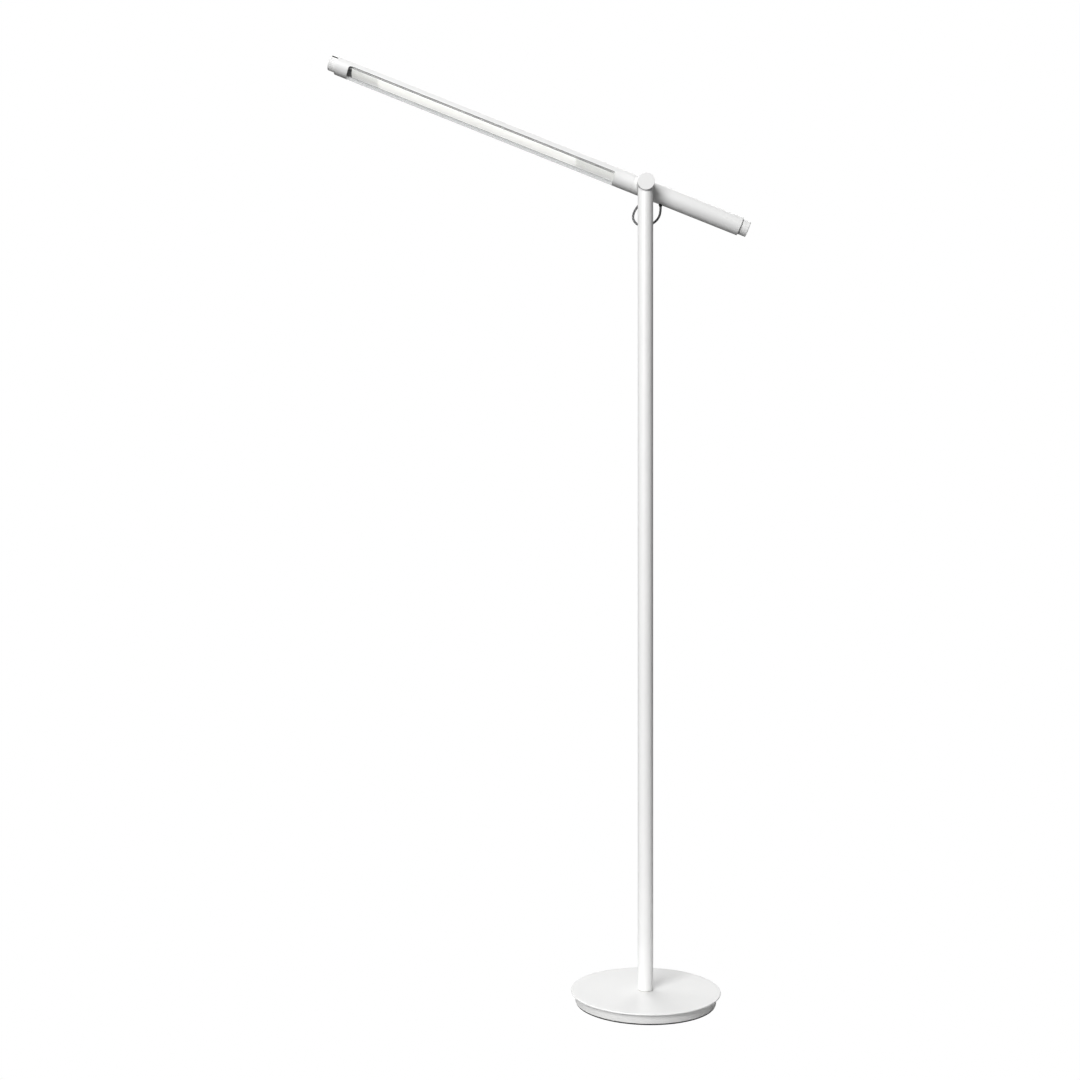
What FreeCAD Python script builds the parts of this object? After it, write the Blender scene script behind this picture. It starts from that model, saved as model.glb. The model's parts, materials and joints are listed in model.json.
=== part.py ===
"""Adjustable arm floor lamp, all sizes in millimetres.

Row frame: +Z up, origin on the floor under the column's axis.  The arm swings in a plane
parallel to X-Z, behind the column (+Y), with the light head towards -X.

Arm parts are built lying along X, in the arm's own frame: its origin is where the arm's axis
crosses the knuckle's axis, +X runs to the dimmer end, and the light shines towards -Z.
in_arm() and in_head() carry them to their place.
"""
import FreeCAD, Part
import math
import os

V = FreeCAD.Vector

# ---- driving dimensions ---------------------------------------------------------------
BASE_R = 114.5          # lipped top plate
BASE_TOP = 18.7         # height of the plate's top face
PLATE_T = 2.3
SKIRT_R = 107.5         # side of the weight, set back under the lip
FOOT_R = 106.5
FOOT_H = 2.2

COLUMN_R = 11.8
COLUMN_WALL = 1.6
POST_R = 8.0
POST_TOP = 92.0

KNUCKLE_Z = 1253.8      # height of the tilt axis
KNUCKLE_R = 13.1
KNUCKLE_FRONT = -14.6   # front face of the cap
BARREL_FRONT = -12.6
BARREL_BACK = 10.9

ARM_Y = 29.0            # arm axis behind the column's axis
ARM_R = 14.5
ARM_WALL = 1.5
ARM_TILT = 21.8         # light end up, at rest
SEAM = -19.0            # joint between head tube and rear tube
HEAD_END = -512.5
REAR_END = 160.7
KNOB_R = 12.0
KNOB_LENGTH = 13.2

WINDOW_LEFT = -492.0
WINDOW_RIGHT = -49.0
WINDOW_TOP = -1.64      # window's long edges, just below the tube's axis
WINDOW_CORNER = 4.0
HEAD_ROLL = -21.0       # head turned towards the front, at rest

LIT_LEFT = -449.0       # stretch that carries light emitters
LIT_RIGHT = -112.0
EMITTERS = 25

LENS_LEFT = -487.0
LENS_TRAVEL = 5.0       # the lens slides this far towards the focus knob
TILT_DOWN = -66.0       # arm_tilt's limits, degrees from rest
TILT_UP = 58.0

GAP = 0.3               # between faces of parts that move past each other
RUN = 0.05              # radial clearance of a shaft in its bore

CORD_R = 1.9
CORD_ARC = 0.45         # share of the shorter run that an arc takes up

# ---- worked-out dimensions ------------------------------------------------------------
COLUMN_BORE = COLUMN_R - COLUMN_WALL
ARM_BORE = ARM_R - ARM_WALL
PLATE_BOTTOM = BASE_TOP - PLATE_T
THRUST_T = 0.6          # nylon ring that the column turns on
COLUMN_FOOT = BASE_TOP + THRUST_T
FAR = 2 * BASE_R        # past the end of any part, for cutting tools


# ---- helpers --------------------------------------------------------------------------
def rod(radius, start, end):
    """Cylinder between two points."""
    along = V(*end) - V(*start)
    return Part.makeCylinder(radius, along.Length, V(*start), along)


def pipe(outer, inner, start, end):
    """Hollow cylinder between two points."""
    return rod(outer, start, end).cut(rod(inner, start, end))


def along_x(outer, x0, x1, inner=0.0):
    """Round bar or tube on the X axis."""
    if inner:
        return pipe(outer, inner, (x0, 0, 0), (x1, 0, 0))
    return rod(outer, (x0, 0, 0), (x1, 0, 0))


def block(x0, x1, y0, y1, z0, z1):
    return Part.makeBox(x1 - x0, y1 - y0, z1 - z0, V(x0, y0, z0))


def outline(points):
    """Closed face in the X-Z plane.  A nested pair (middle, end) is an arc."""
    edges = []
    here = points[0]
    for step in points[1:] + [points[0]]:
        if isinstance(step[0], tuple):
            middle, end = step
            arc = Part.Arc(V(here[0], 0, here[1]), V(middle[0], 0, middle[1]), V(end[0], 0, end[1]))
            edges.append(arc.toShape())
        else:
            end = step
            edges.append(Part.makeLine(V(here[0], 0, here[1]), V(end[0], 0, end[1])))
        here = end
    return Part.Face(Part.Wire(edges))


def turned(points):
    """Solid of revolution about Z from (radius, height) points."""
    return outline(points).revolve(V(0, 0, 0), V(0, 0, 1), 360)


def turned_along_x(points):
    """Solid of revolution about X from (radius, x) points."""
    shape = turned(points)
    shape.rotate(V(0, 0, 0), V(0, 1, 0), 90)
    return shape


def section_along_x(points, x0, x1):
    """Extrusion along X of a (y, z) outline."""
    face = outline(points)
    face.rotate(V(0, 0, 0), V(0, 0, 1), 90)
    face.translate(V(x0, 0, 0))
    return face.extrude(V(x1 - x0, 0, 0))


def hexagon(across_flats, start, end):
    """Hexagonal bar between two points on one line parallel to Y or Z."""
    along = V(*end) - V(*start)
    corner = across_flats / math.sqrt(3)
    ring = [V(corner * math.cos(k * math.pi / 3), corner * math.sin(k * math.pi / 3), 0)
            for k in range(6)]
    bar = Part.Face(Part.makePolygon(ring + ring[:1])).extrude(V(0, 0, along.Length))
    bar.Placement = FreeCAD.Placement(V(*start), FreeCAD.Rotation(V(0, 0, 1), along))
    return bar


def in_arm(shape):
    """From the arm's frame to the row frame."""
    shape = shape.copy()
    shape.rotate(V(0, 0, 0), V(0, 1, 0), ARM_TILT)
    shape.translate(V(0, ARM_Y, KNUCKLE_Z))
    return shape


def in_head(shape):
    """From the head's frame, light straight down, to the row frame."""
    shape = shape.copy()
    shape.rotate(V(0, 0, 0), V(1, 0, 0), HEAD_ROLL)
    return in_arm(shape)


def save(node, shape):
    """Write one sub-part, after a check that it is sound."""
    solids = shape.Solids
    if not solids or not all(s.isValid() and s.Volume > 0 for s in solids):
        raise ValueError(node + " is not a sound solid")
    whole = solids[0] if len(solids) == 1 else Part.makeCompound(solids)
    whole.exportStep("parts/%s.step" % node)
    print("%-20s %2d solid(s) %10.1f mm3" % (node, len(solids), whole.Volume))


# ---- base -----------------------------------------------------------------------------
NOSE_R = 1.05           # round of the plate's rim
ROLL_WIDTH = 6.5        # the top face rolls down to the rim over this width
ROLL_SAG = 0.12         # and has dropped this much half way
WEIGHT_EDGE = 0.3
PAD_EDGE = 0.3
NUT_POCKET_R = 22.0
NUT_POCKET_TOP = 10.0
POST_WASHER_R = 16.0
POST_WASHER_T = 1.5
POST_NUT_FLATS = 24.0
POST_NUT_T = 5.0
POST_BORE = 4.5
COLLAR_R = 10.0
COLLAR_T = 3.0
CIRCLIP_Z = (POST_TOP - 3, POST_TOP - 2)
CIRCLIP_SEAT_R = POST_R - 0.8
CIRCLIP_R = COLUMN_BORE - 0.6
CIRCLIP_GAP = 1.5       # half the gap between its ends
SCREWS = 4
SCREW_CIRCLE = 80.0
SCREW_R = 2.0
SCREW_HEAD_R = 4.0
SCREW_HEAD_Z = (4.9, 7.6)
SCREW_TIP_Z = 17.8
SCREW_SOCKET = 2.5      # across flats
SCREW_SOCKET_DEPTH = 1.5
GLAND_Z = 9.6
GLAND_R = 4.8
GLAND_BORE = 3.4
GLAND_START = 90.0
GLAND_ROOM = 8.0        # pocket behind the gland for the cord's bend
GLAND_FLANGE_R = 6.2
GLAND_FLANGE_T = 2.5
GLAND_SEAT = SKIRT_R + 0.1
STOP_Z = 55.0           # pan stop: a pin in the post and a key in the column
PAN_PIN_R = 1.5
PAN_PIN_TIP = COLUMN_BORE - 0.6
PAN_KEY_HALF = 0.8
PAN_KEY_Z = (STOP_Z - 5, STOP_Z + 5)


def base_screw_places():
    for k in range(SCREWS):
        angle = 2 * math.pi * (k + 0.5) / SCREWS
        yield SCREW_CIRCLE * math.cos(angle), SCREW_CIRCLE * math.sin(angle)


def base_plate():
    """Top plate whose thin rim overhangs the weight; its last few millimetres roll down."""
    nose_z = PLATE_BOTTOM + NOSE_R
    plate = turned([
        (POST_R, PLATE_BOTTOM),
        (BASE_R - NOSE_R, PLATE_BOTTOM),
        ((BASE_R, nose_z), (BASE_R - NOSE_R, nose_z + NOSE_R)),
        ((BASE_R - ROLL_WIDTH / 2, BASE_TOP - ROLL_SAG), (BASE_R - ROLL_WIDTH, BASE_TOP)),
        (POST_R, BASE_TOP),
    ])
    for x, y in base_screw_places():
        plate = plate.cut(rod(SCREW_R, (x, y, PLATE_BOTTOM), (x, y, SCREW_TIP_Z)))
    return plate


def base_weight():
    """Iron disc with a nut pocket, screw holes and a cord channel to the back."""
    disc = turned([
        (POST_R, FOOT_H),
        (SKIRT_R - WEIGHT_EDGE, FOOT_H),
        (SKIRT_R, FOOT_H + WEIGHT_EDGE),
        (SKIRT_R, PLATE_BOTTOM),
        (POST_R, PLATE_BOTTOM),
    ])
    disc = disc.cut(rod(NUT_POCKET_R, (0, 0, FOOT_H), (0, 0, NUT_POCKET_TOP)))
    disc = disc.cut(block(-GLAND_R, GLAND_R, 0, GLAND_START, FOOT_H, NUT_POCKET_TOP))
    disc = disc.cut(rod(GLAND_R, (0, GLAND_START - GLAND_ROOM, GLAND_Z), (0, FAR, GLAND_Z)))
    for x, y in base_screw_places():
        disc = disc.cut(rod(SCREW_R + GAP, (x, y, FOOT_H), (x, y, PLATE_BOTTOM)))
        disc = disc.cut(rod(SCREW_HEAD_R + GAP, (x, y, FOOT_H), (x, y, SCREW_HEAD_Z[1])))
    return disc


def foot_pad():
    return turned([
        (0, 0),
        (FOOT_R - PAD_EDGE, 0),
        (FOOT_R, PAD_EDGE),
        (FOOT_R, FOOT_H),
        (0, FOOT_H),
    ])


def base_post():
    """Hollow post; its collar clamps the plate from above, its nut the weight from below."""
    bottom = NUT_POCKET_TOP - POST_WASHER_T - POST_NUT_T
    post = pipe(POST_R, POST_BORE, (0, 0, bottom), (0, 0, POST_TOP))
    collar = pipe(COLLAR_R, POST_R, (0, 0, COLUMN_FOOT), (0, 0, COLUMN_FOOT + COLLAR_T))
    groove = pipe(POST_R, CIRCLIP_SEAT_R, (0, 0, CIRCLIP_Z[0]), (0, 0, CIRCLIP_Z[1]))
    return post.fuse(collar).cut(groove).removeSplitter()


def post_washer():
    return pipe(POST_WASHER_R, POST_R, (0, 0, NUT_POCKET_TOP - POST_WASHER_T), (0, 0, NUT_POCKET_TOP))


def post_nut():
    top = NUT_POCKET_TOP - POST_WASHER_T
    bottom = top - POST_NUT_T
    nut = hexagon(POST_NUT_FLATS, (0, 0, bottom), (0, 0, top))
    return nut.cut(rod(POST_R, (0, 0, bottom), (0, 0, top)))


def base_screws():
    """Four pan-head screws, heads down, into the plate's underside."""
    head_low, head_high = SCREW_HEAD_Z
    screws = []
    for x, y in base_screw_places():
        head = rod(SCREW_HEAD_R, (x, y, head_low), (x, y, head_high))
        socket = hexagon(SCREW_SOCKET, (x, y, head_low), (x, y, head_low + SCREW_SOCKET_DEPTH))
        shank = rod(SCREW_R, (x, y, head_high), (x, y, SCREW_TIP_Z))
        screws.append(head.fuse(shank).cut(socket))
    return Part.makeCompound(screws)


def power_gland():
    """Cord inlet in the back of the skirt, with a flange outside."""
    end = GLAND_SEAT + GLAND_FLANGE_T
    barrel = rod(GLAND_R, (0, GLAND_START, GLAND_Z), (0, GLAND_SEAT, GLAND_Z))
    flange = rod(GLAND_FLANGE_R, (0, GLAND_SEAT, GLAND_Z), (0, end, GLAND_Z))
    bore = rod(GLAND_BORE, (0, GLAND_START, GLAND_Z), (0, end, GLAND_Z))
    return barrel.fuse(flange).cut(bore).removeSplitter()


def thrust_ring():
    return pipe(COLUMN_R - 0.2, POST_R, (0, 0, BASE_TOP), (0, 0, COLUMN_FOOT))


def post_circlip():
    ring = pipe(CIRCLIP_R, CIRCLIP_SEAT_R, (0, 0, CIRCLIP_Z[0]), (0, 0, CIRCLIP_Z[1]))
    return ring.cut(block(-CIRCLIP_GAP, CIRCLIP_GAP, 0, COLUMN_R, *CIRCLIP_Z))


def pan_stop_pin():
    """Pin on the post's front, coped to its side."""
    pin = rod(PAN_PIN_R, (0, -POST_BORE, STOP_Z), (0, -PAN_PIN_TIP, STOP_Z))
    return pin.cut(rod(POST_R, (0, 0, PAN_KEY_Z[0]), (0, 0, PAN_KEY_Z[1])))


def save_base():
    save("base_plate", base_plate())
    save("base_weight", base_weight())
    save("foot_pad", foot_pad())
    save("base_post", base_post())
    save("post_washer", post_washer())
    save("post_nut", post_nut())
    save("base_screws", base_screws())
    save("power_gland", power_gland())
    save("thrust_ring", thrust_ring())
    save("post_circlip", post_circlip())
    save("pan_stop_pin", pan_stop_pin())


# ---- column and knuckle ---------------------------------------------------------------
BUSH_LENGTH = 10.0
BUSH_BOTTOMS = {"lower": 24.0, "upper": CIRCLIP_Z[0] - GAP - BUSH_LENGTH}
COLUMN_EDGE = 0.7
BOLT_R = 5.0
BOLT_BUSH_R = 7.0
BARREL_WEB = -2.0       # front of the barrel's inner web
BARREL_CAVITY_R = 10.9
FRICTION_R = 7.8
FRICTION_SEAT = 0.3
SADDLE_FRONT = 11.4
STOP_PIN_R = 1.2
STOP_PIN_OFFSET = 9.8   # from the tilt axis
STOP_SLOT_DEPTH = 2.2
CORD_EXIT_Z = 1234.0    # where the cord leaves the column
CORD_GLAND_R = 3.0
CORD_GLAND_NOSE = 2.2
CORD_GLAND_OUT = 2.7    # length outside the tube
CORD_FLANGE_R = 4.5     # inside the tube's wall
CORD_FLANGE_T = 1.0
STOP_PIN_TIP_GAP = 0.2  # between the pin's tip and the slot's floor
CAP_EDGE = 0.4
CAP_PLUG = 2.0          # depth of the cap's plug in the barrel


def at_knuckle(shape):
    """From a frame on the tilt axis to the row frame."""
    shape.translate(V(0, 0, KNUCKLE_Z))
    return shape


def column_tube():
    """Tube from its thrust ring to the barrel it is welded to, coped round the barrel."""
    tube = turned([
        (COLUMN_BORE, COLUMN_FOOT),
        (COLUMN_R - COLUMN_EDGE, COLUMN_FOOT),
        (COLUMN_R, COLUMN_FOOT + COLUMN_EDGE),
        (COLUMN_R, KNUCKLE_Z),
        (COLUMN_BORE, KNUCKLE_Z),
    ])
    cope = at_knuckle(rod(KNUCKLE_R, (0, -FAR, 0), (0, FAR, 0)))
    cord_hole = rod(CORD_GLAND_R, (0, 0, CORD_EXIT_Z), (0, FAR, CORD_EXIT_Z))
    return tube.cut(cope).cut(cord_hole)


def column_bush(bottom):
    return pipe(COLUMN_BORE, POST_R + RUN, (0, 0, bottom), (0, 0, bottom + BUSH_LENGTH))


def pan_stop_key():
    """Rib inside the column, opposite the pin, that ends the turn either way."""
    rib = pipe(COLUMN_BORE, POST_R + GAP, (0, 0, PAN_KEY_Z[0]), (0, 0, PAN_KEY_Z[1]))
    return rib.common(block(-PAN_KEY_HALF, PAN_KEY_HALF, 0, COLUMN_R, *PAN_KEY_Z))


def tilt_stop_slot():
    """Curved slot in the barrel's back face that the stop pin runs in."""
    half = STOP_PIN_R + GAP
    margin = math.degrees(math.asin(half / STOP_PIN_OFFSET))
    sweep = TILT_UP - TILT_DOWN + 2 * margin
    floor = BARREL_BACK - STOP_SLOT_DEPTH
    outer = Part.makeCylinder(STOP_PIN_OFFSET + half, STOP_SLOT_DEPTH, V(0, floor, 0), V(0, 1, 0), sweep)
    middle_now = math.degrees(math.atan2(outer.CenterOfMass.x, outer.CenterOfMass.z))
    slot = outer.cut(rod(STOP_PIN_OFFSET - half, (0, floor, 0), (0, BARREL_BACK, 0)))
    slot.rotate(V(0, 0, 0), V(0, 1, 0), (TILT_UP + TILT_DOWN) / 2 - middle_now)
    return slot


def knuckle_barrel():
    """Barrel across the column's top: spring cavity in front, bush bore, friction seat behind."""
    barrel = rod(KNUCKLE_R, (0, BARREL_FRONT, 0), (0, BARREL_BACK, 0))
    barrel = barrel.cut(rod(BARREL_CAVITY_R, (0, BARREL_FRONT, 0), (0, BARREL_WEB, 0)))
    barrel = barrel.cut(rod(BOLT_BUSH_R, (0, BARREL_WEB, 0), (0, BARREL_BACK, 0)))
    seat_front = BARREL_BACK - FRICTION_SEAT
    barrel = barrel.cut(rod(FRICTION_R + RUN, (0, seat_front, 0), (0, BARREL_BACK, 0)))
    return at_knuckle(barrel.cut(tilt_stop_slot()))


def knuckle_cap():
    """Round front face of the knuckle, a plug in the barrel's mouth."""
    thickness = BARREL_FRONT - KNUCKLE_FRONT
    cap = turned([
        (0, 0),
        (KNUCKLE_R - CAP_EDGE, 0),
        (KNUCKLE_R, CAP_EDGE),
        (KNUCKLE_R, thickness),
        (BARREL_CAVITY_R, thickness),
        (BARREL_CAVITY_R, thickness + CAP_PLUG),
        (0, thickness + CAP_PLUG),
    ])
    cap.rotate(V(0, 0, 0), V(1, 0, 0), -90)
    cap.translate(V(0, KNUCKLE_FRONT, 0))
    return at_knuckle(cap)


def pivot_bush():
    back = BARREL_BACK - FRICTION_SEAT
    return at_knuckle(pipe(BOLT_BUSH_R, BOLT_R + RUN, (0, BARREL_WEB, 0), (0, back, 0)))


def cord_gland(wall_in, wall_out):
    """Strain relief moulded on the cord, along +Z: inner flange, barrel and tapered nose."""
    return turned([
        (0, wall_in - CORD_FLANGE_T),
        (CORD_FLANGE_R, wall_in - CORD_FLANGE_T),
        (CORD_FLANGE_R, wall_in),
        (CORD_GLAND_R, wall_in),
        (CORD_GLAND_R, wall_out),
        (CORD_GLAND_NOSE, wall_out + CORD_GLAND_OUT),
        (0, wall_out + CORD_GLAND_OUT),
    ])


def column_cord_gland():
    flange_clear = COLUMN_BORE - math.sqrt(COLUMN_BORE ** 2 - CORD_FLANGE_R ** 2)
    gland = cord_gland(COLUMN_BORE - flange_clear, COLUMN_R)
    gland.rotate(V(0, 0, 0), V(1, 0, 0), -90)
    gland.translate(V(0, 0, CORD_EXIT_Z))
    return gland


def save_column():
    save("column_tube", column_tube())
    for name, bottom in BUSH_BOTTOMS.items():
        save("column_bush_" + name, column_bush(bottom))
    save("pan_stop_key", pan_stop_key())
    save("knuckle_barrel", knuckle_barrel())
    save("knuckle_cap", knuckle_cap())
    save("pivot_bush", pivot_bush())
    save("column_cord_gland", column_cord_gland())


# ---- arm: pivot, saddle and rear tube -------------------------------------------------
ARM_EXIT_X = 25.6       # where the cord leaves the arm's underside, row frame
ARM_GLAND_WALL = 3.4    # from the arm's underside in to the gland's flange
ARM_GLAND_PROUD = 0.4   # the gland's straight barrel stands out this far
SPRING_R = 9.0
SPRING_T = 1.1
SPRINGS = 2
PIVOT_NUT_FLATS = 15.0
PIVOT_NUT_T = 5.0
BOLT_TIP = -9.8         # front end of the pivot bolt
STOP_PIN_ROOT = 2.0     # the stop pin's depth in the saddle
PLATE_R = 10.0          # clamp plate inside the tube
PLATE_DEPTH = 5.0
SLEEVE_LEFT = -39.0
SLEEVE_RIGHT = 14.0
SLEEVE_BORE = 10.4
ROLL_STOP_X = -33.0
ROLL_STOP_R = 1.5
ROLL_STOP_TIP = ARM_BORE - 1.1
ROLL_GROOVE_R = ARM_BORE - 1.4
ROLL_KEY_HALF = 2.0     # half the width of the bridge across the groove
END_RING_WIDTH = 3.7
END_RING_EDGE = 0.4
SPIGOT = 7.0
SPIGOT_WALL = 2.0
POT_R = 8.0
POT_LENGTH = 9.0
POT_LUG_X = 6.0         # solder lugs, from the web
POT_LUG_T = 1.0
POT_LUG_PITCH = 4.0
POT_LUG_REACH = 1.5
SHAFT_R = 3.0
SHAFT_FLAT = 2.4
SHAFT_IN_POT = 3.0
BUSHING_R = SHAFT_R + 0.6
KNOB_SOCKET = 9.0       # depth of the shaft's hole in either knob
BOARD_X = (22.0, 74.0)
BOARD_HALF = 11.0
BOARD_T = 1.6
CARRIER_T = 3.0
CARRIER_BORE = 9.0
SLIP = 0.1              # radial clearance of a piece pushed into the tube
COUNTERWEIGHT_X = (80.0, 140.0)
COUNTERWEIGHT_TOP = 9.0


def arm_saddle():
    """Boss between barrel and arm, its far end coped round the tube."""
    tangent = ARM_Y - math.sqrt(ARM_R ** 2 - KNUCKLE_R ** 2)
    boss = rod(KNUCKLE_R, (0, SADDLE_FRONT - ARM_Y, 0), (0, tangent - ARM_Y, 0))
    boss = boss.cut(along_x(ARM_R, -2 * KNUCKLE_R, 2 * KNUCKLE_R))
    boss = boss.cut(rod(BOLT_R, (0, SADDLE_FRONT - ARM_Y, 0), (0, 0, 0)))
    return in_arm(boss.cut(stop_pin_bar()))


def stop_pin_bar():
    """Tilt stop pin in the arm's frame, above the pivot when the arm lies at rest."""
    front = BARREL_BACK - STOP_SLOT_DEPTH + STOP_PIN_TIP_GAP - ARM_Y
    back = SADDLE_FRONT + STOP_PIN_ROOT - ARM_Y
    pin = rod(STOP_PIN_R, (0, front, STOP_PIN_OFFSET), (0, back, STOP_PIN_OFFSET))
    pin.rotate(V(0, 0, 0), V(0, 1, 0), -ARM_TILT)
    return pin


def friction_washer():
    front = BARREL_BACK - FRICTION_SEAT - ARM_Y
    return in_arm(pipe(FRICTION_R, BOLT_R, (0, front, 0), (0, SADDLE_FRONT - ARM_Y, 0)))


def clamp_plate():
    """Plate that fits the tube's bore; the pivot bolt screws into it."""
    back = PLATE_DEPTH - ARM_BORE
    plate = rod(PLATE_R, (0, -ARM_R, 0), (0, back, 0))
    plate = plate.common(along_x(ARM_BORE, -PLATE_R, PLATE_R))
    return in_arm(plate.cut(rod(BOLT_R, (0, -ARM_R, 0), (0, back, 0))))


def pivot_bolt():
    return at_knuckle(rod(BOLT_R, (0, BOLT_TIP, 0), (0, ARM_Y - ARM_BORE + PLATE_DEPTH, 0)))


def pivot_nut():
    back = BARREL_WEB - SPRINGS * SPRING_T
    front = back - PIVOT_NUT_T
    nut = hexagon(PIVOT_NUT_FLATS, (0, front, 0), (0, back, 0))
    return at_knuckle(nut.cut(rod(BOLT_R, (0, front, 0), (0, back, 0))))


def spring_washers():
    """Stacked spring washers that set the tilt friction."""
    washers = []
    for k in range(SPRINGS):
        back = BARREL_WEB - k * SPRING_T
        washers.append(at_knuckle(pipe(SPRING_R, BOLT_R, (0, back - SPRING_T, 0), (0, back, 0))))
    return Part.makeCompound(washers)


def bolt_hole():
    return rod(BOLT_R, (0, -FAR, 0), (0, 0, 0))


def arm_cord_gland():
    """Gland straight down out of the arm's underside, in the row frame."""
    axis_z = KNUCKLE_Z - ARM_EXIT_X * math.tan(math.radians(ARM_TILT))
    half_height = ARM_R / math.cos(math.radians(ARM_TILT))
    gland = cord_gland(half_height - ARM_GLAND_WALL, half_height + ARM_GLAND_PROUD)
    gland.rotate(V(0, 0, 0), V(1, 0, 0), 180)
    gland.translate(V(ARM_EXIT_X, ARM_Y, axis_z))
    return gland


def arm_gland_hole():
    """The gland's hole, carried back into the arm's frame."""
    hole = rod(CORD_GLAND_R, (ARM_EXIT_X, 0, 0), (ARM_EXIT_X, 0, -FAR))
    hole.rotate(V(0, 0, 0), V(0, 1, 0), -ARM_TILT)
    return hole


def rear_tube():
    tube = along_x(ARM_R, SEAM, REAR_END - END_RING_WIDTH, ARM_BORE)
    return in_arm(tube.cut(bolt_hole()).cut(arm_gland_hole()))


def swivel_sleeve():
    """Journal fixed in the rear tube; the head tube turns on its left half."""
    fixed = along_x(ARM_BORE, SEAM, SLEEVE_RIGHT, SLEEVE_BORE)
    journal = along_x(ARM_BORE - RUN, SLEEVE_LEFT, SEAM, SLEEVE_BORE)
    sleeve = fixed.fuse(journal)
    sleeve = sleeve.cut(rod(PLATE_R + GAP, (0, -ARM_R, 0), (0, 0, 0)))
    half = ROLL_STOP_R + GAP
    low, high = ROLL_STOP_X - half, ROLL_STOP_X + half
    groove = along_x(ARM_R, low, high, ROLL_GROOVE_R)
    bridge = block(low, high, -ARM_R, 0, -ROLL_KEY_HALF, ROLL_KEY_HALF)
    bridge.rotate(V(0, 0, 0), V(1, 0, 0), HEAD_ROLL)
    return in_arm(sleeve.cut(groove.cut(bridge)))


def rear_end_ring():
    """End ring with a spigot in the tube and a web that carries the dimmer control."""
    web_x = REAR_END - END_RING_WIDTH
    ring = turned_along_x([
        (BUSHING_R, web_x),
        (ARM_BORE - SPIGOT_WALL, web_x),
        (ARM_BORE - SPIGOT_WALL, web_x - SPIGOT),
        (ARM_BORE, web_x - SPIGOT),
        (ARM_BORE, web_x),
        (ARM_R, web_x),
        (ARM_R, REAR_END - END_RING_EDGE),
        (ARM_R - END_RING_EDGE, REAR_END),
        (BUSHING_R, REAR_END),
    ])
    return in_arm(ring)


def dimmer_control():
    """Rotary control behind the end ring; its bushing goes through the web."""
    web_x = REAR_END - END_RING_WIDTH
    can = along_x(POT_R, web_x - POT_LENGTH, web_x)
    bushing = along_x(BUSHING_R, web_x, REAR_END)
    shaft_bore = along_x(SHAFT_R + RUN, web_x - SHAFT_IN_POT - 1, REAR_END)
    lug_x = web_x - POT_LUG_X
    lugs = [block(lug_x, lug_x + POT_LUG_T, y - POT_LUG_T / 2, y + POT_LUG_T / 2,
                  -POT_R - POT_LUG_REACH, -POT_R / 2) for y in (-POT_LUG_PITCH, 0, POT_LUG_PITCH)]
    return in_arm(can.fuse(bushing).cut(shaft_bore).multiFuse(lugs))


def driver_board():
    return in_arm(block(*BOARD_X, -BOARD_HALF, BOARD_HALF, -BOARD_T, 0))


def driver_components():
    """Inductor, capacitor, two chips and a terminal block on the board's top."""
    x0 = BOARD_X[0]
    inductor = rod(5.0, (x0 + 12, 0, 0), (x0 + 12, 0, 7))
    capacitor = rod(3.6, (x0 + 20, 5, 3.6), (x0 + 32, 5, 3.6))
    chips = [block(x0 + 22, x0 + 28, -8, -3, 0, 1.8), block(x0 + 31, x0 + 35, -8, -5, 0, 1.4)]
    terminal = block(x0 + 39, x0 + 46, -7, 7, 0, 7)
    return in_arm(Part.makeCompound([inductor, capacitor, terminal] + chips))


def board_carriers():
    """Two plastic discs that hold the board's ends in the tube."""
    carriers = []
    for x in (BOARD_X[0], BOARD_X[1] - CARRIER_T):
        disc = along_x(ARM_BORE - SLIP, x, x + CARRIER_T, CARRIER_BORE)
        slot = block(x, x + CARRIER_T, -BOARD_HALF, BOARD_HALF, -BOARD_T, 0)
        carriers.append(in_arm(disc.cut(slot)))
    return Part.makeCompound(carriers)


def counterweight():
    """Steel bar that balances the head, with a flat that the wires pass over."""
    bar = along_x(ARM_BORE - SLIP, *COUNTERWEIGHT_X)
    return in_arm(bar.cut(block(*COUNTERWEIGHT_X, -ARM_R, ARM_R, COUNTERWEIGHT_TOP, ARM_R)))


def save_arm():
    save("arm_saddle", arm_saddle())
    save("tilt_stop_pin", in_arm(stop_pin_bar()))
    save("friction_washer", friction_washer())
    save("clamp_plate", clamp_plate())
    save("pivot_bolt", pivot_bolt())
    save("pivot_nut", pivot_nut())
    save("spring_washers", spring_washers())
    save("rear_tube", rear_tube())
    save("swivel_sleeve", swivel_sleeve())
    save("arm_cord_gland", arm_cord_gland())
    save("rear_end_ring", rear_end_ring())
    save("dimmer_control", dimmer_control())
    save("driver_board", driver_board())
    save("driver_components", driver_components())
    save("board_carriers", board_carriers())
    save("counterweight", counterweight())


# ---- light head -----------------------------------------------------------------------
COVER_LIP = 4.0         # cover's flange, under the window's edge
COVER_LAP = 2.0         # and this far in from the edge
COVER_FIT = 0.25
COVER_OUTER = ARM_R - SLIP
COVER_MID = ARM_BORE - SLIP
COVER_INNER = ARM_BORE - 1.4
SINK_Z = 5.0            # heat sink's flat underside
SINK_X = (-486.0, -45.0)
SINK_CHANNEL_HALF = 5.0
SINK_CHANNEL_FLOOR = 8.5
SINK_SCREW_R = 1.0
SINK_SCREW_DEPTH = 3.0
SINK_SCREW_HEAD_R = 1.9
SINK_SCREW_HEAD_T = 0.9
EMITTER_BOARD_HALF = 7.5
EMITTER_BOARD_T = 1.6
EMITTER_HALF = 2.5
EMITTER_T = 0.8
RAIL_Y = (9.8, 10.9)
RAIL_LIP_Y = 8.9
RAIL_Z = (-2.35, -1.75)   # lip that the lens bar's flanges rest on
LENS_HALF = 9.5         # across the flanges
LENS_TOP = -0.6
LENS_FACE_HALF = 10.9   # across the face below the rails
LENS_FACE_TOP = RAIL_Z[0] - GAP
LENS_EDGE = -3.0
LENS_CROWN = -4.8
LENS_RIGHT = -42.0
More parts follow.
